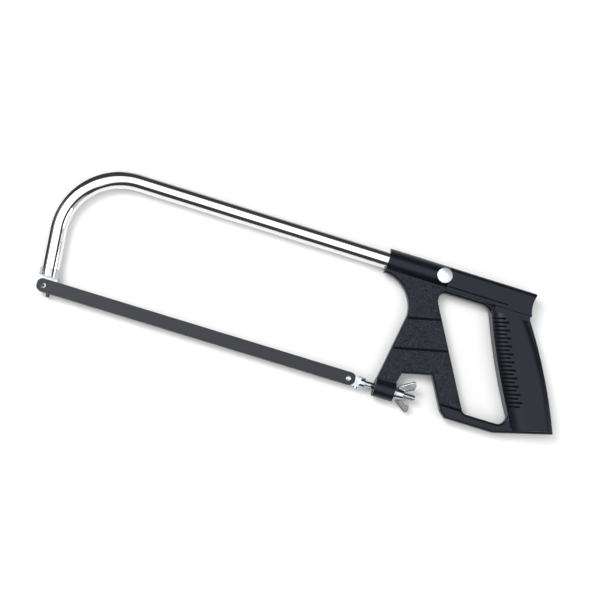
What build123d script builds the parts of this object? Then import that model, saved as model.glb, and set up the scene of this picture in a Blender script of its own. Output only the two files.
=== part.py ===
"""A tubular hacksaw for 300 mm blades, lying on its side, in millimetres.

The saw lies flat: X runs along the blade from the front pin to the handle, Y runs from
the blade up to the top tube, and Z is its thickness, with the free face upwards.
Outlines are drawn in the saw's own plane, whose origin is the blade's front hole.
"""
from build123d import *
from math import atan, cos, degrees, radians, sin, tan
import os

# ---- driving dimensions -------------------------------------------------------------
blade_pitch = 300.0        # hole to hole, the standard 12 in blade
blade_width = 13.0
blade_thick = 0.65
blade_hole_r = 2.3
blade_end = 6.4            # from a hole's centre to the blade's end
blade_corner_r = 5.0

pin_r = 1.7                # pins that hold the blade
pin_stand = 3.2            # how far a blade pin stands out of the tab's flat
pin_depth = 3.6            # how far a pin is let into its tab
pin_shank_r = 1.5          # the part of a pin that is let in
pin_play = 0.06            # gap between a taut blade's hole and its pin

tube_od = 18.0
tube_wall = 1.5
tube_height = 120.6        # blade centreline to the tube's axis
bend_r = 60.0              # centreline radius of the one bend
leg_lean = 6.42            # degrees that the front leg leans
leg_foot_x = 3.0           # where the leg's axis meets the blade's centreline
seam_y = 16.5              # lower end of the tube, on its axis

step_y = 9.0               # where the spigot is cut down to a half-round tab
spigot_foot = 6.1          # end face of the tab, below the blade's centreline
plug_depth = 24.0          # spigot inside the tube
flat_gap = 0.05            # tab's flat to the blade
fit_gap = 0.03             # radial gap of pins and plugs that stay put
flat_pin_x = 6.4           # the pin for a blade turned flat, front
flat_pin_stand = 3.1
rear_flat_pin_stand = 3.3
rear_flat_y = 4.1          # spot face under the rear flat pin, below the bolt's axis
rear_flat_z = -2.6

bolt_shank_r = 3.0         # M6
bolt_head_r = 5.2
bolt_run_gap = 0.08        # shank in the lug
nut_run_gap = 0.05         # nut on the shank
bolt_tab_back = 5.6        # tab in front of the rear pin, towards the blade
bolt_collar_start = 11.0   # past the rear hole
bolt_collar_len = 4.5
bolt_end = 66.0            # end of the thread, past the rear hole

lug_start = 25.4           # all past the rear hole
lug_len = 19.6
lug_r = 9.4
washer_r = 6.25
washer_thick = 1.6
washer_bore_gap = 0.2
seat_gap = 0.05            # lug to washer to nut

nut_hub_r = 6.0
nut_hub_top_r = 5.0
nut_hub_h = 8.0
wing_r = 16.4
wing_h = 17.0
wing_thick = 3.0
wing_turn = 25.0           # degrees that the wings stand out of the saw's plane

boss_start = 4.5           # past the rear hole
boss_r = 11.2
boss_bore_gap = 0.05
pad_r = 8.0                # round pad under each rivet head
pad_half = 11.3
boss_past_rivet = 7.0      # the boss runs on behind the rivet into the block
tube_insert = 68.0         # tube inside the boss
rivet_x = 60.2             # past the rear hole
rivet_head_r = 7.25
rivet_head_h = 1.6
rivet_shank_r = 3.0

web_half = 5.5             # half thickness of the web, bars and lug's leg
edge_r = 2.8
block_half = 10.6          # half thickness of the top block
block_top = 10.0           # its top above the tube's axis
block_bottom = 13.4        # its bottom below the tube's axis
block_edge_r = 4.5
block_foot_r = 1.2
block_past_rivet = 5.0     # where the block's front end starts
grip_half = 13.0
grip_wall = 6.8            # half thickness where the finger side starts to swell
grip_swell = 14.0          # width of the swelling, which carries the ribs
strap_width = 3.6          # web left bare along the grip's back
grip_bevel = 6.5
grip_bevel_depth = 3.4
bead_half = 10.2
bead_height = 5.4
style_tilt = 13.0          # degrees, the common slant of ribs, grooves and notch

rib_pitch = 3.52
rib_count = 23
rib_width = 2.0            # of the V cut between two ribs, at the skin
rib_depth = 1.1
rib_short = 12.5
rib_long = 15.5
rib_first = 17.5           # height of the lowest cut
groove_width = 2.4         # of the two V grooves across the web
groove_depth = 1.2
line_width = 1.3           # of the V line along the block
line_depth = 0.6
line_drop = 9.1            # below the tube's axis
line_ends = (66.5, 127.0)  # past the rear hole

# ---- places worked out from them ----------------------------------------------------
front_pin_x = -(blade_hole_r - pin_r - pin_play)
rear_pin_x = blade_pitch - front_pin_x
flat_z = -blade_thick / 2 - flat_gap       # the tabs' flats, just under the blade
lean = radians(leg_lean)
corner_x = leg_foot_x - tube_height * tan(lean)
bend_x = corner_x + bend_r * tan(radians(45 + leg_lean / 2))
grip_heel_x = blade_pitch + 203.8          # rearmost point of the handle
wing_low = wing_r * cos(radians(wing_turn)) + wing_thick / 2 * sin(radians(wing_turn))
nut_start = lug_start + lug_len + 2 * seat_gap + washer_thick
left_edge = bend_x - bend_r - tube_od / 2

mid_x = (left_edge + grip_heel_x) / 2
mid_y = (tube_height + boss_r - wing_low) / 2
saw = Plane(origin=(-mid_x, -mid_y, grip_half))
"""The saw's own plane: halfway through its thickness, origin at the front hole."""


def across(x, y=0.0, turn=0.0):
    """Plane square to the blade at a distance along it, facing the handle."""
    turned = (0, cos(radians(turn)), sin(radians(turn)))
    return Plane(origin=saw.from_local_coords((x, y, 0)), x_dir=turned, z_dir=(1, 0, 0))


def rear(x, y=0.0, turn=0.0):
    """The same plane, measured from the blade's rear hole."""
    return across(blade_pitch + x, y, turn)


def leg_point(y):
    """A point on the front leg's axis at a height above the blade's centreline."""
    return (leg_foot_x - y * tan(lean), y)


def leg_plane(y):
    """Plane square to the front leg at that height, facing the blade."""
    x, height = leg_point(y)
    return Plane(
        origin=saw.from_local_coords((x, height, 0)), x_dir=(0, 0, 1), z_dir=(sin(lean), -cos(lean), 0)
    )


def save(part, name):
    """Label a finished piece and write it."""
    part.label = name
    export_step(part, f"parts/{name}.step")


os.makedirs("parts", exist_ok=True)

# ---- top tube -----------------------------------------------------------------------
tube_end_x = blade_pitch + boss_start + tube_insert
foot_x, foot_y = leg_point(seam_y)
with BuildPart() as frame_tube:
    with BuildLine(saw) as tube_path:
        FilletPolyline((foot_x, foot_y), (corner_x, tube_height), (tube_end_x, tube_height), radius=bend_r)
    with BuildSketch(Plane(origin=tube_path.line @ 0, z_dir=tube_path.line % 0)):
        Circle(tube_od / 2)
        Circle(tube_od / 2 - tube_wall, mode=Mode.SUBTRACT)
    sweep(path=tube_path.line)
    with BuildSketch(saw.offset(-boss_r)):
        with Locations((blade_pitch + rivet_x, tube_height)):
            Circle(rivet_shank_r + fit_gap)
    extrude(amount=2 * boss_r, mode=Mode.SUBTRACT)
save(frame_tube.part, "frame_tube")

# ---- front spigot and its pins ------------------------------------------------------
plug_r = tube_od / 2 - tube_wall - fit_gap
collar_len = (seam_y + spigot_foot) / cos(lean) + tube_od
with BuildPart() as front_spigot:
    with BuildSketch(leg_plane(seam_y)):
        Circle(plug_r)
    extrude(amount=-plug_depth)
    with BuildSketch(leg_plane(seam_y).offset(fit_gap)):
        Circle(tube_od / 2)
    extrude(amount=collar_len)
    with BuildSketch(leg_plane(seam_y).offset(-fit_gap)):
        Circle(plug_r)
    extrude(amount=3 * fit_gap)
    with BuildSketch(saw.offset(-tube_od)):
        with Locations((0, -spigot_foot)):
            Rectangle(3 * tube_od, 3 * tube_od, align=(Align.CENTER, Align.MAX))
    extrude(amount=2 * tube_od, mode=Mode.SUBTRACT)
    with BuildSketch(saw.offset(flat_z)):
        with Locations((0, step_y)):
            Rectangle(3 * tube_od, 3 * tube_od, align=(Align.CENTER, Align.MAX))
    extrude(amount=tube_od, mode=Mode.SUBTRACT)
    with BuildSketch(saw.offset(flat_z - pin_depth - fit_gap)):
        with Locations((front_pin_x, 0)):
            Circle(pin_shank_r + fit_gap)
    extrude(amount=pin_depth + 2 * fit_gap, mode=Mode.SUBTRACT)
    flat_pin_z = flat_z - 0.5 * tube_od / 2
    flat_pin_plane = Plane(
        origin=saw.from_local_coords((flat_pin_x, -spigot_foot, flat_pin_z)), x_dir=(1, 0, 0), z_dir=(0, -1, 0)
    )
    with BuildSketch(flat_pin_plane.offset(-pin_depth - fit_gap)):
        Circle(pin_shank_r + fit_gap)
    extrude(amount=pin_depth + 2 * fit_gap, mode=Mode.SUBTRACT)
save(front_spigot.part, "front_spigot")


def shouldered_pin(seat, stand):
    """A pin let into a tab behind its seat plane, with a thicker round-topped free end."""
    with BuildPart() as pin:
        with BuildSketch(seat.offset(-pin_depth)):
            Circle(pin_shank_r)
        extrude(amount=pin_depth)
        with BuildSketch(seat.offset(fit_gap)):
            Circle(pin_r)
        extrude(amount=stand - fit_gap)
        with BuildSketch(seat):
            Circle(pin_shank_r)
        extrude(amount=2 * fit_gap)
        fillet(pin.edges().sort_by(Axis(seat.origin, seat.z_dir))[-1], 0.5)
    return pin.part


def flat_seat(x):
    """Where a blade pin stands on a tab's flat."""
    return Plane(origin=saw.from_local_coords((x, 0, flat_z)), z_dir=(0, 0, 1))


save(shouldered_pin(flat_seat(front_pin_x), pin_stand), "front_blade_pin")
save(shouldered_pin(flat_seat(rear_pin_x), pin_stand), "rear_blade_pin")
save(shouldered_pin(flat_pin_plane, flat_pin_stand), "front_flat_pin")

# ---- blade --------------------------------------------------------------------------
with BuildPart() as blade:
    with BuildSketch(saw.offset(-blade_thick / 2)):
        with Locations((blade_pitch / 2, 0)):
            RectangleRounded(blade_pitch + 2 * blade_end, blade_width, blade_corner_r)
        with Locations((0, 0), (blade_pitch, 0)):
            Circle(blade_hole_r, mode=Mode.SUBTRACT)
    extrude(amount=blade_thick)
save(blade.part, "blade")

# ---- tension bolt -------------------------------------------------------------------
rear_flat_x = bolt_collar_start - pin_r - 0.6
rear_flat_plane = Plane(
    origin=saw.from_local_coords((blade_pitch + rear_flat_x, -rear_flat_y, rear_flat_z)),
    x_dir=(1, 0, 0), z_dir=(0, -1, 0)
)
with BuildPart() as tension_bolt:
    head_len = bolt_tab_back + bolt_collar_start + bolt_collar_len
    with BuildSketch(rear(-bolt_tab_back)):
        Circle(bolt_head_r)
    extrude(amount=head_len)
    fillet(tension_bolt.edges().group_by(Axis.X)[0], 1.0)
    with BuildSketch(rear(bolt_collar_start + bolt_collar_len)):
        Circle(bolt_shank_r)
    extrude(amount=bolt_end - bolt_collar_start - bolt_collar_len)
    chamfer(tension_bolt.edges().group_by(Axis.X)[-1], 0.7)
    with BuildSketch(saw.offset(flat_z)):
        with Locations((blade_pitch + bolt_collar_start, 0)):
            Rectangle(3 * head_len, 3 * bolt_head_r, align=(Align.MAX, Align.CENTER))
    extrude(amount=2 * bolt_head_r, mode=Mode.SUBTRACT)
    with BuildSketch(saw.offset(flat_z - pin_depth - fit_gap)):
        with Locations((rear_pin_x, 0)):
            Circle(pin_shank_r + fit_gap)
    extrude(amount=pin_depth + 2 * fit_gap, mode=Mode.SUBTRACT)
    with BuildSketch(rear_flat_plane.offset(-pin_depth - fit_gap)):
        Circle(pin_shank_r + fit_gap)
    extrude(amount=pin_depth + bolt_head_r, mode=Mode.SUBTRACT)
    with BuildSketch(rear_flat_plane):
        Circle(pin_r + 0.4)
    extrude(amount=bolt_head_r, mode=Mode.SUBTRACT)
save(tension_bolt.part, "tension_bolt")
save(shouldered_pin(rear_flat_plane, rear_flat_pin_stand), "rear_flat_pin")

# ---- washer and wing nut ------------------------------------------------------------
with BuildPart() as washer:
    with BuildSketch(rear(lug_start + lug_len + seat_gap)):
        Circle(washer_r)
        Circle(bolt_shank_r + washer_bore_gap, mode=Mode.SUBTRACT)
    extrude(amount=washer_thick)
    fillet(washer.edges().filter_by(GeomType.CIRCLE).group_by(SortBy.RADIUS)[-1], 0.3)
save(washer.part, "washer")

wing_plane = Plane(
    origin=saw.from_local_coords((blade_pitch + nut_start, 0, 0)), x_dir=(1, 0, 0),
    z_dir=(0, -sin(radians(wing_turn)), cos(radians(wing_turn)))
)
with BuildPart() as wing_nut:
    with BuildSketch(rear(nut_start)):
        Circle(nut_hub_r)
    with BuildSketch(rear(nut_start + nut_hub_h)):
        Circle(nut_hub_top_r)
    loft()
    with BuildSketch(wing_plane.offset(-wing_thick / 2)):
        with BuildLine():
            Polyline((0.6, 0), (0.6, 4.6), (2.6, 8.2), (wing_h - 3.0, wing_r - 0.3))
            ThreePointArc((wing_h - 3.0, wing_r - 0.3), (wing_h - 0.5, wing_r - 1.6), (wing_h, wing_r - 4.2))
            Line((wing_h, wing_r - 4.2), (wing_h - 0.4, wing_r - 8.4))
            ThreePointArc((wing_h - 0.4, wing_r - 8.4), (wing_h - 5.6, 5.6), (nut_hub_h, 3.6))
            Line((nut_hub_h, 3.6), (nut_hub_h, 0))
            Line((nut_hub_h, 0), (0.6, 0))
        make_face()
        mirror(about=Plane.XZ)
    extrude(amount=wing_thick)
    with BuildSketch(rear(nut_start - 1)):
        Circle(bolt_shank_r + nut_run_gap)
    extrude(amount=wing_h + 2, mode=Mode.SUBTRACT)
save(wing_nut.part, "wing_nut")

# ---- tube rivet ---------------------------------------------------------------------
rivet_seat = pad_half + fit_gap
rivet_center = saw.from_local_coords((blade_pitch + rivet_x, tube_height, 0))
rivet_plane = Plane(origin=rivet_center, z_dir=(0, 0, 1))
with BuildPart() as tube_rivet:
    with BuildSketch(rivet_plane.offset(-rivet_seat)):
        Circle(rivet_shank_r)
    extrude(amount=2 * rivet_seat)
    with BuildSketch(rivet_plane.offset(rivet_seat), rivet_plane.offset(-rivet_seat - rivet_head_h)):
        Circle(rivet_head_r)
    extrude(amount=rivet_head_h)
    crowns = tube_rivet.edges().group_by(Axis.Z)
    fillet(crowns[0] + crowns[-1], rivet_head_h - 0.35)
save(tube_rivet.part, "tube_rivet")

# ---- handle -------------------------------------------------------------------------
hand = Plane(origin=saw.from_local_coords((blade_pitch, 0, 0)))
"""The saw's plane again, with its origin at the blade's rear hole."""

top = tube_height
heel = (grip_heel_x - blade_pitch, 5.3)
back_middle = (179.3, 0.5 * top)
back_top = (152.4, top - 14.6)
finger_top = (112.3, top - 15.2)
finger_middle = (132.9, 0.46 * top)
finger_foot = (162.4, -0.6)
web_left = 61.7            # front edge of the hand opening, at its top
throat_arc_r = 33.5
throat_arc_end = boss_start - 1 + throat_arc_r
through = 2 * grip_half + 2
groove_places = [(50, 74.6, 60, style_tilt), (56, 45.5, 90, style_tilt), (105, 1.2, 40, 0)]
"""Middle, length and slant of each V groove across the web."""


def round_corner(sketch, point, radius):
    """Round the sketch's corner nearest to a point."""
    fillet(sketch.vertices().sort_by_distance(point)[0], radius)


def arc_middle(center, radius, angle):
    """A point on a circle, at an angle in degrees."""
    return (center[0] + radius * cos(radians(angle)), center[1] + radius * sin(radians(angle)))


def groove_plane(x, y, length, tilt, level):
    """Plane square to a straight groove at its left end, on the casting's skin."""
    along = (cos(radians(tilt)), sin(radians(tilt)), 0)
    start = (x - length / 2 * along[0], y - length / 2 * along[1], level)
    return Plane(origin=hand.from_local_coords(start), x_dir=(-along[1], along[0], 0), z_dir=along)


def v_section(width, depth, side):
    """A V with its point below the skin and its open end above it; the plane's Y points up."""
    over = 1.5
    Polygon(
        (-over * width / 2, side * (over - 1) * depth), (over * width / 2, side * (over - 1) * depth),
        (0, -side * depth), align=None
    )


def is_web_rim(edge):
    """True for the rims that stay in sight, outside the boss and the block."""
    middle = hand.to_local_coords(edge.center())
    return middle.Y < top - 14.9 or middle.X < 30 and middle.Y < top - 14


with BuildPart() as web:
    arc_center = (boss_start - 1, top - 13.1 - throat_arc_r)
    with BuildSketch(hand.offset(-web_half)) as outline:
        with BuildLine():
            Polyline((boss_start, top), (boss_start, top - 13.1), (arc_center[0], top - 13.1))
            ThreePointArc(
                (arc_center[0], top - 13.1), arc_middle(arc_center, throat_arc_r, 45),
                (throat_arc_end, arc_center[1])
            )
            Polyline(
                (throat_arc_end, arc_center[1]), (lug_start + 0.3, 9), (lug_start + 0.3, 0),
                (lug_start + lug_len - 0.3, 0), (lug_start + lug_len - 0.3, 9), (47.2, 19.4), (75.8, 25.9),
                (92.6, -5.0), (98.5, -9.8), (147.0, -9.8), heel
            )
            ThreePointArc(heel, back_middle, back_top)
            Polyline(back_top, (back_top[0] - 3, top), (boss_start, top))
        make_face()
        round_corner(outline, (throat_arc_end, arc_center[1]), 20)
        round_corner(outline, (92.6, -5.0), 7)
        round_corner(outline, (147.0, -9.8), 30)
        round_corner(outline, (47.2, 19.4), 1.5)
        round_corner(outline, (75.8, 25.9), 1.5)
    extrude(amount=2 * web_half)
    with BuildSketch(hand.offset(-web_half - 1)) as opening:
        with BuildLine():
            Polyline(finger_foot, (114.1, -0.6), (web_left, top - 25.1), (web_left, top - 15.2), finger_top)
            ThreePointArc(finger_top, finger_middle, finger_foot)
        make_face()
        round_corner(opening, finger_foot, 9)
        round_corner(opening, (114.1, -0.6), 6)
        round_corner(opening, (web_left, top - 15.2), 6)
        round_corner(opening, (web_left, top - 25.1), 8)
        round_corner(opening, finger_top, 12)
    extrude(amount=2 * web_half + 2, mode=Mode.SUBTRACT)
    rims = web.edges().group_by(Axis.Z)[0] + web.edges().group_by(Axis.Z)[-1]
    fillet(rims.filter_by(is_web_rim), edge_r)
    for x, y, length, tilt in groove_places:
        for side in (1, -1):
            with BuildSketch(groove_plane(x, y, length, tilt, side * web_half)):
                v_section(groove_width, groove_depth, side)
            extrude(amount=length, mode=Mode.SUBTRACT)

# the block that joins the tube's boss to the grip, with a bead along its foot
block_back = 151.6
block_front = rivet_x + block_past_rivet
with BuildPart() as block:
    with BuildSketch(hand.offset(-block_half)) as block_side:
        with BuildLine():
            Polyline(
                (block_back + 0.9, top - block_bottom), (block_front, top - block_bottom),
                (block_front, top + block_top), (block_back, top + block_top), (block_back + 0.6, top + block_top - 2)
            )
            ThreePointArc(
                (block_back + 0.6, top + block_top - 2), (block_back - 1.2, top - 3),
                (block_back + 0.9, top - block_bottom)
            )
        make_face()
    extrude(amount=2 * block_half)
    ridge = block.edges().filter_by(Axis.X).group_by(Axis.Y)[-1]
    fillet(ridge, block_edge_r)
    foot = block.edges().filter_by(Axis.X).group_by(Axis.Y)[0]
    fillet(foot, block_foot_r)
    line_len = line_ends[1] - line_ends[0]
    for side in (1, -1):
        line_start = groove_plane(sum(line_ends) / 2, top - line_drop, line_len, 0, side * block_half)
        with BuildSketch(line_start):
            v_section(line_width, line_depth, side)
        extrude(amount=line_len, mode=Mode.SUBTRACT)

grip_profile = grip_swell**2 + (grip_half - grip_wall) ** 2
swell_r = grip_profile / (2 * (grip_half - grip_wall))


def swell_point(width, depth=0.0):
    """A point on the grip's swelling side, or a depth below it."""
    rise = swell_r - (swell_r**2 - (grip_swell - width) ** 2) ** 0.5
    return (width, grip_half - rise - depth)


with BuildLine(hand) as finger_line:
    finger_arc = ThreePointArc(finger_top, finger_middle, finger_foot)
    below = finger_arc % 1
    Line(finger_arc @ 1, finger_arc @ 1 + 20 * below)

with BuildPart() as grip:
    grip_heel = (heel[0] - strap_width, heel[1] + 1.2)
    grip_back_middle = (back_middle[0] - strap_width, back_middle[1])
    grip_back_top = (back_top[0] - strap_width, top - block_bottom - bead_height)
    with BuildSketch(hand.offset(-grip_half)) as grip_side:
        with BuildLine():
            ThreePointArc(finger_top, finger_middle, finger_foot)
            Polyline(finger_foot, (150.0, -6.5), grip_heel)
            ThreePointArc(grip_heel, grip_back_middle, grip_back_top)
            Polyline(grip_back_top, (finger_top[0] + 2, grip_back_top[1]), finger_top)
        make_face()
    extrude(amount=2 * grip_half)
    for side in (0, -1):
        face = grip.faces().filter_by(Plane.XY).sort_by(Axis.Z)[side]
        rim = face.edges().filter_by(GeomType.CIRCLE).sort_by(Axis.X)[-1]
        chamfer(rim, grip_bevel, grip_bevel_depth, reference=face)
    for side in (1, -1):
        path_start = finger_line.line @ 0
        down = finger_line.line % 0
        with BuildSketch(Plane(origin=path_start, x_dir=down.rotate(Axis.Z, 90), z_dir=down)):
            with BuildLine():
                Polyline(
                    (0, side * grip_wall), (-grip_swell, side * grip_wall), (-grip_swell, side * through),
                    (grip_swell, side * through), (grip_swell, side * grip_half)
                )
                middle = swell_point(0.4 * grip_swell)
                ThreePointArc(
                    (grip_swell, side * grip_half), (middle[0], side * middle[1]), (0, side * grip_wall)
                )
            make_face()
        sweep(path=finger_line.line, mode=Mode.SUBTRACT)


def rib_cutter(height, length, side):
    """A V cut that follows the grip's swelling: full depth in its middle plane, none at its edges."""
    slope = (cos(radians(style_tilt)), sin(radians(style_tilt)), 0)
    middle_plane = Plane(origin=rib_start(height), x_dir=slope, z_dir=(slope[1], -slope[0], 0))
    near_width = 0.1 * grip_swell
    end_width = min(length, grip_swell)
    near = swell_point(near_width, rib_depth)
    mid = swell_point((near_width + end_width) / 2, rib_depth)
    end = swell_point(end_width, rib_depth)
    corners = [near, (-1, near[1]), (-1, through), (length, through)]
    if length > grip_swell:
        corners.append((length, end[1]))
    corners.append(end)
    with BuildPart() as cutter:
        with BuildSketch(middle_plane):
            with BuildLine():
                Polyline([(x, side * z) for x, z in corners])
                ThreePointArc((end[0], side * end[1]), (mid[0], side * mid[1]), (near[0], side * near[1]))
            make_face()
        slant = degrees(atan(rib_depth / (rib_width / 2)))
        middle_face = cutter.pending_faces[0]
        extrude(amount=rib_width / 2, taper=slant)
        extrude(middle_face, amount=-rib_width / 2, taper=slant)
    return cutter.part


def rib_start(height):
    """The point on the finger side at a height."""
    level = Edge.make_line(
        hand.from_local_coords((finger_top[0] - 20, height, 0)),
        hand.from_local_coords((finger_foot[0] + 20, height, 0))
    )
    return finger_arc.intersect(level)[0]


def tube_bore_part():
    """What the tube, its rivet and the tension bolt take out of the handle."""
    with BuildPart() as bores:
        with BuildSketch(rear(boss_start - 1, tube_height)):
            Circle(tube_od / 2 + boss_bore_gap)
        extrude(amount=tube_insert + 1 + boss_bore_gap)
        with BuildSketch(hand.offset(-through)):
            with Locations((rivet_x, tube_height)):
                Circle(rivet_shank_r + fit_gap)
        extrude(amount=2 * through)
        with BuildSketch(rear(lug_start - 1)):
            Circle(bolt_shank_r + bolt_run_gap)
        extrude(amount=lug_len + 2)
    return bores.part


with BuildPart() as handle:
    add(web.part)
    add(block.part)
    add(grip.part)
    with BuildSketch(hand.offset(-bead_half)):
        with Locations((block_back - 0.8, top - block_bottom + 0.1)):
            Rectangle(block_back - 0.8 - finger_top[0] - 3, bead_height, align=(Align.MAX, Align.MAX))
    extrude(amount=2 * bead_half)
    with BuildSketch(rear(boss_start, tube_height)):
        Circle(boss_r)
    extrude(amount=rivet_x + boss_past_rivet - boss_start)
    with BuildSketch(hand.offset(-pad_half)):
        with Locations((rivet_x, tube_height)):
            Circle(pad_r)
    extrude(amount=2 * pad_half)
    with BuildSketch(rear(lug_start)):
        Circle(lug_r)
    extrude(amount=lug_len)
    add(tube_bore_part(), mode=Mode.SUBTRACT)
cutters = []
for number in range(rib_count):
    length = rib_long if number % 2 else rib_short
    for side in (1, -1):
        cutters.append(rib_cutter(rib_first + number * rib_pitch, length, side))
handle_part = handle.part - cutters
save(handle_part, "handle")
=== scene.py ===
"""A tubular hacksaw lying on its side, dressed for its studio picture.

Every piece is built in millimetres in the saw's own frame, whose origin is the blade's
front hole: x runs along the blade to the handle, y up to the top tube, z to the free face.
"""
from math import cos, pi, radians, sin, tan

import bmesh
import bpy
from mathutils import Matrix, Vector


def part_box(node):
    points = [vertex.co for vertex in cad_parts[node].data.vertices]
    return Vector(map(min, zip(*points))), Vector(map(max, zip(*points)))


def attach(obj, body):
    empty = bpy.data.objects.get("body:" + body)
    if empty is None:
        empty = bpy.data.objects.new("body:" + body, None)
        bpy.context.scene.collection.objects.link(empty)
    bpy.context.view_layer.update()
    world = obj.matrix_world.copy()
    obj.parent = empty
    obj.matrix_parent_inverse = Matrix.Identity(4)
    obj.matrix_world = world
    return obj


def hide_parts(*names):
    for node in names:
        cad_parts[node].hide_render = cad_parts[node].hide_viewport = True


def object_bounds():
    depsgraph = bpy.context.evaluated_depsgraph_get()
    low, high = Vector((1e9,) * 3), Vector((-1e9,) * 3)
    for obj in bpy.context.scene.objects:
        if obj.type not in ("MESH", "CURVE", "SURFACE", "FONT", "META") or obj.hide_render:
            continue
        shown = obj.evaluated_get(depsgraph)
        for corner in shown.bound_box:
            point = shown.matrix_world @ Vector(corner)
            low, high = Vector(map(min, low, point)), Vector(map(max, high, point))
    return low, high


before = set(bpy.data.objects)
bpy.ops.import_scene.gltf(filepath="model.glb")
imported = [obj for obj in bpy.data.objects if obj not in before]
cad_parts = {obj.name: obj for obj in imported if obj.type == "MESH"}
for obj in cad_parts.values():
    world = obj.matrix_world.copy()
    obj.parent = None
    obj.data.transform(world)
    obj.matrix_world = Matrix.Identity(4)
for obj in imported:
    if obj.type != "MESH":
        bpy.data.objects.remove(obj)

cad_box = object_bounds()
scene = bpy.context.scene

# ---- sizes, in millimetres ----------------------------------------------------------
MM = 0.001
BLADE_PITCH = 300.0
BLADE_END = 6.4
BLADE_HOLE_R = 2.3
BLADE_CORNER_R = 5.0
TOOTH_PITCH = 25.4 / 24          # 24 teeth to the inch
TOOTH_DEPTH = 0.75
TOOTH_SET = 0.14                 # how far the wavy set leans a tooth to one side
TOOTH_BED = 0.3                  # how far a tooth reaches up into the strip
TOOTH_TIP = 0.18                 # flat on a tooth's tip
TEETH_PER_WAVE = 10
TUBE_R = 9.0
TUBE_WALL = 1.5
TUBE_Y = 120.6
BEND_R = 60.0
LEG_LEAN = radians(6.42)
LEG_FOOT_X = 3.0
SEAM_Y = 16.5
TUBE_END_X = BLADE_PITCH + 72.5
TUBE_SIDES = 72
BEND_STEPS = 72
RIVET_X = BLADE_PITCH + 60.2
THREAD_START = BLADE_PITCH + 30.0
THREAD_PITCH = 1.0
THREAD_ROOT_R = 2.42
THREAD_CREST_R = 2.98
THREAD_BED = 0.15                # how far the ridge reaches into its core
THREAD_FLAT = 0.1                # half width of the crest
THREAD_STEPS = 24                # to a turn
WEB_HALF = 5.5                   # half thickness of the casting's pebbled web
WEB_LOW = (2.0, 3.0)             # the pebbles fade in between these heights
WEB_TOP = (109.0, 110.5)         # and out again between these
WEB_REAR = (414.0, 415.0)        # they stop here, short of the grip's back
WELD = 0.002                     # corners closer than this are one

blade_lo, blade_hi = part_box("blade")
blade_mid = (blade_lo + blade_hi) / 2
origin = Vector((blade_lo.x + BLADE_END * MM, blade_mid.y, blade_mid.z))


def row(x, y, z=0.0):
    """The row-frame place, in metres, of a point given in the saw's frame."""
    return origin + Vector((x, y, z)) * MM


# ---- materials ----------------------------------------------------------------------
def linear(code):
    """The linear values of an sRGB hex colour."""
    shares = [int(code[i:i + 2], 16) / 255 for i in (1, 3, 5)]
    return (*[c / 12.92 if c <= 0.04045 else ((c + 0.055) / 1.055) ** 2.4 for c in shares], 1.0)


def node(tree, kind, links=(), **settings):
    """One node with its settings, and its inputs set or linked."""
    made = tree.nodes.new("ShaderNode" + kind)
    for name, value in settings.items():
        setattr(made, name, value)
    for socket, value in dict(links).items():
        if isinstance(value, bpy.types.NodeSocket):
            tree.links.new(value, made.inputs[socket])
        else:
            made.inputs[socket].default_value = value
    return made


def new_material(name):
    """An empty node material with its output, its shader and the object's coordinates."""
    material = bpy.data.materials.new(name)
    material.use_nodes = True
    tree = material.node_tree
    tree.nodes.clear()
    place = node(tree, "TexCoord").outputs["Object"]
    shader = node(tree, "BsdfPrincipled")
    node(tree, "OutputMaterial", {"Surface": shader.outputs["BSDF"]})
    return material, tree, place, shader


def span(value, low, high, to_low, to_high):
    """The inputs that map a value from one range to another."""
    return {"Value": value, "From Min": low, "From Max": high, "To Min": to_low, "To Max": to_high}


def with_stops(made, stops):
    """Give a colour ramp hex colours at given places, and return its colour."""
    ramp = made.color_ramp
    while len(ramp.elements) < len(stops):
        ramp.elements.new(0.5)
    for element, (place, code) in zip(ramp.elements, stops):
        element.position = place
        element.color = linear(code)
    return made.outputs["Color"]


SMOOTH = {"interpolation_type": "SMOOTHSTEP"}


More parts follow.
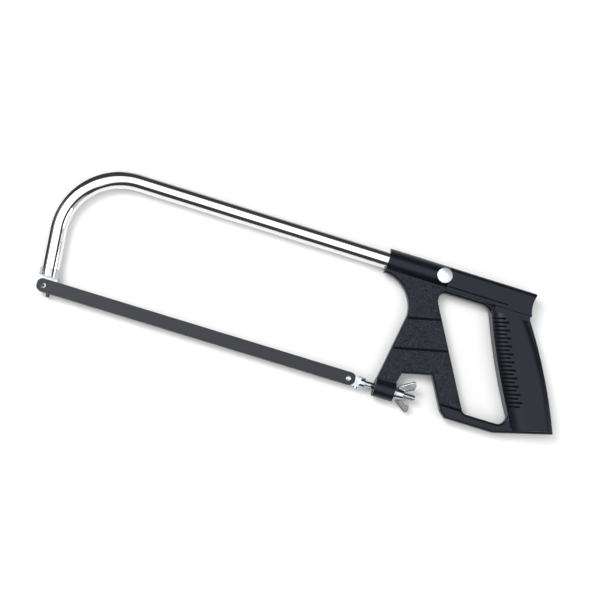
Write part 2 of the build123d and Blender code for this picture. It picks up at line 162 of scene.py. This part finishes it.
def black_stoved_enamel():
    """Stoved black enamel on an aluminium die casting: satin and blue-black.

    Only the web's flats are dimpled, and their colour is painted greyer than the rest: painted light
    standing in for the light the dimples scatter.
    """
    material, tree, place, shader = new_material("black_enamel_on_cast_aluminium")
    axes = node(tree, "SeparateXYZ", {0: place}).outputs
    level = node(tree, "Math", {0: axes["Z"], 1: origin.z}, operation="SUBTRACT").outputs[0]
    level = node(tree, "Math", {0: level}, operation="ABSOLUTE").outputs[0]
    fades = [
        span(level, (WEB_HALF - 0.35) * MM, (WEB_HALF - 0.05) * MM, 0, 1),
        span(level, (WEB_HALF + 0.05) * MM, (WEB_HALF + 0.2) * MM, 1, 0),
        span(axes["Y"], row(0, WEB_LOW[0]).y, row(0, WEB_LOW[1]).y, 0, 1),
        span(axes["Y"], row(0, WEB_TOP[0]).y, row(0, WEB_TOP[1]).y, 1, 0),
        span(axes["X"], row(WEB_REAR[0], 0).x, row(WEB_REAR[1], 0).x, 1, 0),
    ]
    web = 1.0
    for fade in fades:
        inside = node(tree, "MapRange", fade, **SMOOTH).outputs["Result"]
        web = node(tree, "Math", {0: web, 1: inside}, operation="MULTIPLY").outputs[0]
    # dimples 2.1 mm across, with finer grains over them
    dimples = node(
        tree, "TexVoronoi", {"Vector": place, "Scale": 1 / (2.1 * MM)}, feature="SMOOTH_F1"
    ).outputs["Distance"]
    grains = node(tree, "TexNoise", {"Vector": place, "Scale": 1 / (1.1 * MM), "Detail": 3})
    rough_web = node(tree, "Math", {0: dimples, 1: grains.outputs["Fac"]}, operation="ADD").outputs[0]
    coarse = node(tree, "Bump", {"Height": rough_web, "Strength": web, "Distance": 1.1 * MM})
    # the enamel's own orange peel, everywhere
    peel = node(tree, "TexNoise", {"Vector": place, "Scale": 1 / (2.6 * MM), "Detail": 2})
    fine = node(tree, "Bump", {
        "Height": peel.outputs["Fac"], "Strength": 0.12, "Distance": 0.2 * MM,
        "Normal": coarse.outputs["Normal"],
    })
    tree.links.new(fine.outputs["Normal"], shader.inputs["Normal"])
    cloud = node(
        tree, "TexNoise", {"Vector": place, "Scale": 1 / (38 * MM), "Detail": 4}
    ).outputs["Fac"]
    smooth_skin = with_stops(node(tree, "ValToRGB", {"Fac": cloud}), [(0.3, "#0c0e14"), (0.7, "#11141c")])
    # each dimple is painted greyer in its middle than on the ridges round it: painted light and shade that
    # speckle the web and lift it above the smooth enamel
    painted_web_light = with_stops(
        node(tree, "ValToRGB", {"Fac": dimples}), [(0.1, "#2b2e37"), (0.45, "#1c1e25"), (0.8, "#0d0e12")]
    )
    # the web's mask brings in the painted light; elsewhere the enamel keeps its own clouded tone
    skin = node(tree, "Mix", {"Factor": web, 6: smooth_skin, 7: painted_web_light}, data_type="RGBA").outputs[2]
    tree.links.new(skin, shader.inputs["Base Color"])
    satin = node(tree, "MapRange", span(cloud, 0.3, 0.7, 0.3, 0.38), **SMOOTH).outputs["Result"]
    shine = node(tree, "Math", {0: web, 1: -0.04}, operation="MULTIPLY").outputs[0]
    roughness = node(tree, "Math", {0: satin, 1: shine}, operation="ADD").outputs[0]
    tree.links.new(roughness, shader.inputs["Roughness"])
    shader.inputs["IOR"].default_value = 1.5
    shader.inputs["Specular IOR Level"].default_value = 0.3
    shader.inputs["Specular Tint"].default_value = linear("#dfe6fa")
    return material


def plated_or_bare(name, scale, detail, ramp, polish, bump_scale, bump_detail, strength, depth):
    """A metal that one cloud pattern tints and dulls and a second one makes uneven.

    The scales and the depth are in millimetres, and polish is (from, to, least, most roughness).
    """
    material, tree, place, shader = new_material(name)
    cloud = node(
        tree, "TexNoise", {"Vector": place, "Scale": 1 / (scale * MM), "Detail": detail}
    ).outputs["Fac"]
    tint = with_stops(node(tree, "ValToRGB", {"Fac": cloud}), ramp)
    tree.links.new(tint, shader.inputs["Base Color"])
    dulled = node(tree, "MapRange", span(cloud, *polish), **SMOOTH).outputs["Result"]
    tree.links.new(dulled, shader.inputs["Roughness"])
    if strength:
        uneven = node(
            tree, "TexNoise", {"Vector": place, "Scale": 1 / (bump_scale * MM), "Detail": bump_detail}
        ).outputs["Fac"]
        bump = node(tree, "Bump", {"Height": uneven, "Strength": strength, "Distance": depth * MM})
        tree.links.new(bump.outputs["Normal"], shader.inputs["Normal"])
    shader.inputs["Metallic"].default_value = 1.0
    return material


def charcoal_lacquered_steel():
    """Charcoal lacquer over rolled steel strip: a flat satin with faint streaks along the rolling."""
    material, tree, place, shader = new_material("charcoal_lacquer_on_steel_strip")
    along = node(tree, "Mapping", {"Vector": place, "Scale": (0.04, 1.0, 1.0)}).outputs["Vector"]
    streaks = node(
        tree, "TexNoise", {"Vector": along, "Scale": 1 / (1.2 * MM), "Detail": 4}
    ).outputs["Fac"]
    axes = node(tree, "SeparateXYZ", {0: place}).outputs
    middle = node(tree, "Math", {0: axes["Y"], 1: origin.y}, operation="SUBTRACT").outputs[0]
    edge = node(tree, "Math", {0: middle}, operation="ABSOLUTE").outputs[0]
    # darker along both edges
    rim = node(tree, "MapRange", span(edge, 5.2 * MM, 6.4 * MM, 0, 1), **SMOOTH).outputs["Result"]
    share = node(tree, "Math", {0: rim, 1: 0.6}, operation="MULTIPLY").outputs[0]
    face = with_stops(node(tree, "ValToRGB", {"Fac": streaks}), [(0.25, "#202129"), (0.75, "#272831")])
    toned = node(tree, "Mix", {"Factor": share, 6: face, 7: linear("#141519")}, data_type="RGBA")
    tree.links.new(toned.outputs[2], shader.inputs["Base Color"])
    satin = node(tree, "MapRange", span(streaks, 0.25, 0.75, 0.46, 0.58), **SMOOTH)
    tree.links.new(satin.outputs["Result"], shader.inputs["Roughness"])
    bump = node(tree, "Bump", {"Height": streaks, "Strength": 0.08, "Distance": 0.05 * MM})
    tree.links.new(bump.outputs["Normal"], shader.inputs["Normal"])
    shader.inputs["IOR"].default_value = 1.45
    shader.inputs["Specular IOR Level"].default_value = 0.4
    return material


enamel = black_stoved_enamel()
lacquer = charcoal_lacquered_steel()
# bright chromium plate on drawn steel tube: a cool mirror with the faintest ripple
chrome = plated_or_bare(
    "bright_chrome_on_drawn_steel_tube", 14, 5, [(0.3, "#dfe0e2"), (0.7, "#e8e8e8")],
    (0.3, 0.75, 0.045, 0.11), 9, 1, 0.06, 0.1
)
# bright zinc plate on turned steel: a soft bluish silver, cloudy and a little uneven
zinc = plated_or_bare(
    "bright_zinc_on_turned_steel", 5, 5, [(0.3, "#a2abb2"), (0.55, "#babec2"), (0.75, "#b5b2bc")],
    (0.3, 0.7, 0.1, 0.22), 0.7, 2, 0.15, 0.05
)
# tumbled aluminium: a pale, matte, faintly dimpled rivet head
aluminium = plated_or_bare(
    "tumbled_aluminium_rivet", 1.3, 4, [(0.3, "#cdd3d8"), (0.7, "#e9edf0")],
    (0.3, 0.7, 0.4, 0.55), 1.3, 4, 0.25, 0.1
)
# oil-blacked hardened steel: a dark, slightly mottled metal with a thin sheen
blacked = plated_or_bare(
    "oil_blacked_hardened_steel", 0.8, 4, [(0.3, "#2a2a2d"), (0.7, "#4a4a4e")],
    (0.3, 0.7, 0.28, 0.42), 0, 0, 0, 0
)


# ---- making a piece -----------------------------------------------------------------
def place_piece(bm, name, body, material, replaced, sharp=32.0):
    """Turn finished mesh work into an object in its place, riding on its body."""
    bmesh.ops.scale(bm, vec=(MM, MM, MM), verts=bm.verts)
    bmesh.ops.translate(bm, vec=origin, verts=bm.verts)
    for face in bm.faces:
        face.smooth = True
    for edge in bm.edges:
        edge.smooth = not edge.is_boundary and edge.calc_face_angle(0.0) < radians(sharp)
    mesh = bpy.data.meshes.new(name)
    bm.to_mesh(mesh)
    bm.free()
    mesh.materials.append(material)
    piece = bpy.data.objects.new(name, mesh)
    scene.collection.objects.link(piece)
    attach(piece, body)
    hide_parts(*replaced)
    return piece


def copied(name):
    """A merged copy of a CAD node's mesh, in the saw's frame."""
    bm = bmesh.new()
    bm.from_mesh(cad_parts[name].data)
    bmesh.ops.remove_doubles(bm, verts=bm.verts, dist=WELD * MM)
    bmesh.ops.translate(bm, vec=-origin, verts=bm.verts)
    bmesh.ops.scale(bm, vec=(1 / MM, 1 / MM, 1 / MM), verts=bm.verts)
    return bm


def break_edges(bm, width, angle=32.0, segments=2):
    """Dissolve the flats into single faces and round every sharp edge a little."""
    bmesh.ops.dissolve_limit(bm, angle_limit=radians(0.4), verts=bm.verts, edges=bm.edges)
    sharp = [edge for edge in bm.edges if edge.calc_face_angle(0.0) > radians(angle)]
    bmesh.ops.bevel(
        bm, geom=sharp, offset=width, offset_type="OFFSET", affect="EDGES", segments=segments,
        profile=0.5, material=-1, clamp_overlap=True
    )


def weighted(piece):
    """Keep the flats flat where they meet small rounds."""
    normals = piece.modifiers.new("flat faces stay flat", "WEIGHTED_NORMAL")
    normals.keep_sharp = True
    normals.weight = 60


# ---- top tube -----------------------------------------------------------------------
def make_tube():
    """The bent chrome tube: one ring drawn up the leg, round the bend and along the top."""
    up_leg = Vector((-sin(LEG_LEAN), cos(LEG_LEAN), 0))
    foot = Vector((LEG_FOOT_X - SEAM_Y * tan(LEG_LEAN), SEAM_Y, 0))
    corner_x = LEG_FOOT_X - TUBE_Y * tan(LEG_LEAN)
    turn = pi / 2 + LEG_LEAN
    center = Vector((corner_x + BEND_R * tan(turn / 2), TUBE_Y - BEND_R, 0))
    leg_len = (TUBE_Y - SEAM_Y) / cos(LEG_LEAN) - BEND_R * tan(turn / 2)
    bm = bmesh.new()
    ring = bmesh.ops.create_circle(bm, segments=TUBE_SIDES, radius=TUBE_R)["verts"]
    facing = Vector((0, 0, 1)).rotation_difference(up_leg).to_matrix()
    bmesh.ops.rotate(bm, verts=ring, matrix=facing)
    bmesh.ops.translate(bm, verts=ring, vec=foot)
    edges = list(bm.edges)

    def draw(edges, vec):
        made = bmesh.ops.extrude_edge_only(bm, edges=edges)["geom"]
        bmesh.ops.translate(bm, verts=[v for v in made if isinstance(v, bmesh.types.BMVert)], vec=vec)
        return [e for e in made if isinstance(e, bmesh.types.BMEdge)]

    edges = draw(edges, leg_len * up_leg)
    made = bmesh.ops.spin(
        bm, geom=edges, cent=center, axis=(0, 0, -1), dvec=(0, 0, 0), angle=turn, steps=BEND_STEPS,
        use_merge=False
    )["geom_last"]
    edges = [e for e in made if isinstance(e, bmesh.types.BMEdge)]
    draw(edges, (TUBE_END_X - center.x, 0, 0))
    bmesh.ops.remove_doubles(bm, verts=bm.verts, dist=0.0005)
    bmesh.ops.recalc_face_normals(bm, faces=bm.faces)
    if max(bm.faces, key=lambda f: f.calc_center_median().z).normal.z < 0:
        bmesh.ops.reverse_faces(bm, faces=bm.faces)
    tube = place_piece(bm, "frame_tube_drawn", "frame", chrome, ["frame_tube"])
    wall = tube.modifiers.new("tube wall", "SOLIDIFY")
    wall.use_rim = True
    wall.use_even_offset = True
    wall.thickness = TUBE_WALL * MM
    wall.offset = -1.0


make_tube()

# ---- front spigot -------------------------------------------------------------------
bm = copied("front_spigot")
break_edges(bm, 0.35)
weighted(place_piece(bm, "front_spigot_turned", "frame", zinc, ["front_spigot"]))

# ---- handle -------------------------------------------------------------------------
bm = copied("handle")
break_edges(bm, 0.3)
weighted(place_piece(bm, "handle_casting", "frame", enamel, ["handle"]))


# ---- blade --------------------------------------------------------------------------
def make_blade():
    """The blade: a drilled strip with rounded ends, and a row of set teeth along its foot."""
    half_width = (blade_hi.y - blade_lo.y) / MM / 2
    half_thick = (blade_hi.z - blade_lo.z) / MM / 2
    root = -half_width + TOOTH_DEPTH
    left, right = -BLADE_END, BLADE_PITCH + BLADE_END
    bm = bmesh.new()
    corners = [bm.verts.new((x, y, -half_thick)) for x, y in
               ((left, root), (right, root), (right, half_width), (left, half_width))]
    bm.faces.new(corners)
    bmesh.ops.bevel(
        bm, geom=corners, offset=BLADE_CORNER_R, offset_type="OFFSET", affect="VERTICES", segments=10,
        profile=0.5, material=-1
    )
    bmesh.ops.delete(bm, geom=list(bm.faces), context="FACES_ONLY")
    for x in (0.0, BLADE_PITCH):
        bmesh.ops.create_circle(
            bm, segments=40, radius=BLADE_HOLE_R, matrix=Matrix.Translation((x, 0, -half_thick))
        )
    bmesh.ops.triangle_fill(bm, edges=list(bm.edges), use_beauty=True, use_dissolve=False)
    made = bmesh.ops.extrude_face_region(bm, geom=list(bm.faces))["geom"]
    bmesh.ops.translate(
        bm, verts=[v for v in made if isinstance(v, bmesh.types.BMVert)], vec=(0, 0, 2 * half_thick)
    )
    first = left + BLADE_CORNER_R
    count = int((right - left - 2 * BLADE_CORNER_R) / TOOTH_PITCH)
    for number in range(count):
        x = first + number * TOOTH_PITCH
        lean = TOOTH_SET * sin(2 * pi * number / TEETH_PER_WAVE)
        base = [
            (x, root + TOOTH_BED), (x + TOOTH_PITCH, root + TOOTH_BED), (x + TOOTH_PITCH, root),
            (x + TOOTH_TIP, -half_width),
        ]
        tooth = bm.faces.new([bm.verts.new((*point, -half_thick)) for point in base + [(x, -half_width)]])
        made = bmesh.ops.extrude_face_region(bm, geom=[tooth])["geom"]
        cap = [v for v in made if isinstance(v, bmesh.types.BMVert)]
        bmesh.ops.translate(bm, verts=cap, vec=(0, 0, 2 * half_thick))
        for vert in cap + list(tooth.verts):
            if vert.co.y < root - 0.1:
                vert.co.z += lean
    bmesh.ops.recalc_face_normals(bm, faces=bm.faces)
    place_piece(bm, "blade_toothed", "saw_blade", lacquer, ["blade"])


make_blade()


# ---- tension bolt -------------------------------------------------------------------
def make_bolt():
    """The turned head and shank, and a rolled thread wound round the core behind them."""
    bm = copied("tension_bolt")
    far_x = max(v.co.x for v in bm.verts)
    bmesh.ops.bisect_plane(
        bm, geom=bm.verts[:] + bm.edges[:] + bm.faces[:], plane_co=(THREAD_START, 0, 0),
        plane_no=(1, 0, 0), clear_outer=True
    )
    rim = [edge for edge in bm.edges if edge.is_boundary]
    bmesh.ops.holes_fill(bm, edges=rim, sides=0)
    break_edges(bm, 0.3)
    core = bmesh.ops.create_cone(
        bm, cap_ends=True, cap_tris=False, segments=40, radius1=THREAD_ROOT_R, radius2=THREAD_ROOT_R,
        depth=far_x - THREAD_START + 1, matrix=Matrix.Translation(((far_x + THREAD_START - 1) / 2, 0, 0))
        @ Matrix.Rotation(pi / 2, 4, "Y")
    )["verts"]
    end = [e for v in core for e in v.link_edges if all(w.co.x > far_x - 0.01 for w in e.verts)]
    bmesh.ops.bevel(
        bm, geom=list(set(end)), offset=0.5, offset_type="OFFSET", affect="EDGES", segments=2, profile=0.5,
        material=-1
    )
    turns = int((far_x - THREAD_START - 1.5) / THREAD_PITCH)
    inner = THREAD_ROOT_R - THREAD_BED
    half = 0.44 * THREAD_PITCH
    start = THREAD_START + half
    ridge = [
        (start - half, inner), (start - THREAD_FLAT, THREAD_CREST_R),
        (start + THREAD_FLAT, THREAD_CREST_R), (start + half, inner),
    ]
    section = bm.faces.new([bm.verts.new((x, 0, r)) for x, r in ridge])
    geom = [section, *section.edges, *section.verts]
    bmesh.ops.spin(
        bm, geom=geom, cent=(0, 0, 0), axis=(1, 0, 0), dvec=(THREAD_PITCH / THREAD_STEPS, 0, 0),
        angle=2 * pi * turns, steps=THREAD_STEPS * turns, use_merge=False
    )
    bmesh.ops.recalc_face_normals(bm, faces=bm.faces)
    place_piece(bm, "tension_bolt_threaded", "tensioner", zinc, ["tension_bolt"])


make_bolt()


# ---- wing nut -----------------------------------------------------------------------
def softened(bm, name, voxel, rounds):
    """A forged look: the shape is rebuilt on fine cells and its corners are rubbed down."""
    mesh = bpy.data.meshes.new(name)
    bm.to_mesh(mesh)
    bm.free()
    rough = bpy.data.objects.new(name, mesh)
    scene.collection.objects.link(rough)
    remesh = rough.modifiers.new("fine cells", "REMESH")
    remesh.mode = "VOXEL"
    remesh.voxel_size = voxel
    graph = bpy.context.evaluated_depsgraph_get()
    built = bpy.data.meshes.new_from_object(rough.evaluated_get(graph))
    bpy.data.objects.remove(rough)
    soft = bmesh.new()
    soft.from_mesh(built)
    for _ in range(rounds):
        bmesh.ops.smooth_vert(
            soft, verts=soft.verts, factor=0.5, use_axis_x=True, use_axis_y=True, use_axis_z=True
        )
    return soft


FORGING_CELL = 0.28
SMOOTHING_ROUNDS = 4
bm = softened(copied("wing_nut"), "wing_nut_forging", FORGING_CELL, SMOOTHING_ROUNDS)
place_piece(bm, "wing_nut_forged", "nut", zinc, ["wing_nut"], sharp=80.0)


# ---- tube rivet ---------------------------------------------------------------------
def make_rivet():
    """A headed pin right through the boss: two low domes joined by a shank, turned in one go."""
    low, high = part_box("tube_rivet")
    half = (high.z - low.z) / MM / 2
    head_r = (high.x - low.x) / MM / 2
    rise, rim, shank_r = 1.6, 0.4, 3.0
    dome_r = (head_r**2 + (rise - rim) ** 2) / (2 * (rise - rim))
    steps = 8
    dome = []
    for step in range(steps + 1):
        r = head_r * sin(pi / 2 * step / steps)
        dome.append((r, half - dome_r + (dome_r**2 - r**2) ** 0.5))
    upper = dome + [(head_r - 0.15, half - rise), (shank_r, half - rise)]
    profile = upper + [(r, -z) for r, z in reversed(upper)]
    bm = bmesh.new()
    verts = [bm.verts.new((RIVET_X + r, TUBE_Y, z)) for r, z in profile]
    for first, second in zip(verts, verts[1:]):
        bm.edges.new((first, second))
    bmesh.ops.spin(
        bm, geom=bm.verts[:] + bm.edges[:], cent=(RIVET_X, TUBE_Y, 0), axis=(0, 0, 1), dvec=(0, 0, 0),
        angle=2 * pi, steps=64, use_merge=True
    )
    bmesh.ops.remove_doubles(bm, verts=bm.verts, dist=0.001)
    bmesh.ops.recalc_face_normals(bm, faces=bm.faces)
    place_piece(bm, "tube_rivet_domed", "frame", aluminium, ["tube_rivet"])


make_rivet()

# ---- carried parts ------------------------------------------------------------------
for name in ("rear_blade_pin", "rear_flat_pin", "washer"):
    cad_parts[name].material_slots[0].material = zinc
for name in ("front_blade_pin", "front_flat_pin"):
    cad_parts[name].material_slots[0].material = blacked

# ---- floor --------------------------------------------------------------------------
FLOOR_HALF = 6.0                 # metres
FLOOR_GAP = 0.0002               # metres below the saw
bm = bmesh.new()
bmesh.ops.create_grid(bm, x_segments=1, y_segments=1, size=FLOOR_HALF)
bmesh.ops.translate(bm, verts=bm.verts, vec=(0, 0, min(0.0, cad_box[0].z) - FLOOR_GAP))
floor_mesh = bpy.data.meshes.new("floor")
bm.to_mesh(floor_mesh)
bm.free()
floor = bpy.data.objects.new("floor", floor_mesh)
scene.collection.objects.link(floor)
paper, _, _, shader = new_material("white_studio_paper")
shader.inputs["Base Color"].default_value = linear("#f4f4f4")
shader.inputs["Roughness"].default_value = 0.9
shader.inputs["Specular IOR Level"].default_value = 0.1
floor_mesh.materials.append(paper)

# ---- light --------------------------------------------------------------------------
def add_softbox(name, place, size, power):
    """A square soft light aimed at the saw's middle."""
    lamp = bpy.data.lights.new(name, "AREA")
    lamp.shape = "SQUARE"
    lamp.size = size
    lamp.energy = power
    holder = bpy.data.objects.new(name, lamp)
    holder.location = place
    holder.rotation_mode = "QUATERNION"
    holder.rotation_quaternion = (-Vector(place)).to_track_quat("-Z", "Y")
    scene.collection.objects.link(holder)


add_softbox("key_softbox", (-1.05, 0.35, 1.9), 0.9, 27.0)
add_softbox("edge_softbox", (1.9, 0.1, 0.75), 0.8, 9.0)
add_softbox("front_edge_softbox", (-1.95, -0.35, 0.55), 0.45, 4.0)

# the room: a white ceiling, dark towards the front and the blade side, one dark beam on
# the other side, so that the plated tube shows the bands that such a room gives it
world = bpy.data.worlds.new("studio_room")
scene.world = world
world.use_nodes = True
tree = world.node_tree
tree.nodes.clear()
axes = node(tree, "SeparateXYZ", {0: node(tree, "TexCoord").outputs["Generated"]}).outputs
toward_front = node(tree, "Math", {0: axes["X"], 1: -1.0}, operation="MULTIPLY").outputs[0]
toward_blade = node(tree, "Math", {0: axes["Y"], 1: -1.0}, operation="MULTIPLY").outputs[0]


def beam(value, near, far):
    """A share of light that goes out between two directions and comes back between two others."""
    out = node(tree, "MapRange", span(value, *near, 1, 0), **SMOOTH).outputs["Result"]
    back = node(tree, "MapRange", span(value, *far, 0, 1), **SMOOTH).outputs["Result"]
    return node(tree, "Math", {0: out, 1: back}, operation="ADD").outputs[0]


WALL_LEVEL = 0.55
CEILING_LEVEL = 1.9
LEAST_LIGHT = 0.05
fronts = span(toward_front, 0.2, 0.5, 1, 0.45)
level = node(tree, "MapRange", span(axes["Z"], 0.5, 0.86, WALL_LEVEL, CEILING_LEVEL), **SMOOTH)
level = level.outputs["Result"]
shares = [
    node(tree, "MapRange", fronts, **SMOOTH).outputs["Result"],
    node(tree, "MapRange", span(toward_blade, 0.60, 0.74, 1, 0), **SMOOTH).outputs["Result"],
    node(tree, "MapRange", span(toward_front, 0.78, 0.90, 1, 0), **SMOOTH).outputs["Result"],
    beam(axes["Y"], (0.24, 0.50), (0.93, 0.98)),
    beam(axes["X"], (0.50, 0.62), (0.80, 0.90)),
]
for share in shares:
    level = node(tree, "Math", {0: level, 1: share}, operation="MULTIPLY").outputs[0]
level = node(tree, "Math", {0: level, 1: LEAST_LIGHT}, operation="ADD").outputs[0]
room = node(tree, "Background", {"Color": linear("#ffffff"), "Strength": level})
node(tree, "OutputWorld", {"Surface": room.outputs["Background"]})

# ---- camera -------------------------------------------------------------------------
CAMERA_PLACE = (110.0, -155.0, 1500.0)
CAMERA_AIM = (234.4645, 58.1403, 0.0)
CAMERA_ROLL = 0.2876
CAMERA_LENS = 95.965
CAMERA_SENSOR = 36.0
place, aim = row(*CAMERA_PLACE), row(*CAMERA_AIM)
forward = (aim - place).normalized()
across = forward.cross(Vector((0, 1, 0))).normalized()
above = across.cross(forward)
right = cos(CAMERA_ROLL) * across + sin(CAMERA_ROLL) * above
upward = cos(CAMERA_ROLL) * above - sin(CAMERA_ROLL) * across
lens = bpy.data.cameras.new("camera")
lens.lens = CAMERA_LENS
lens.sensor_width = CAMERA_SENSOR
lens.clip_start = 0.05
lens.clip_end = 50.0
camera = bpy.data.objects.new("camera", lens)
camera.matrix_world = Matrix.Translation(place) @ Matrix((right, upward, -forward)).transposed().to_4x4()
scene.collection.objects.link(camera)
scene.camera = camera
scene.view_settings.view_transform = "Standard"
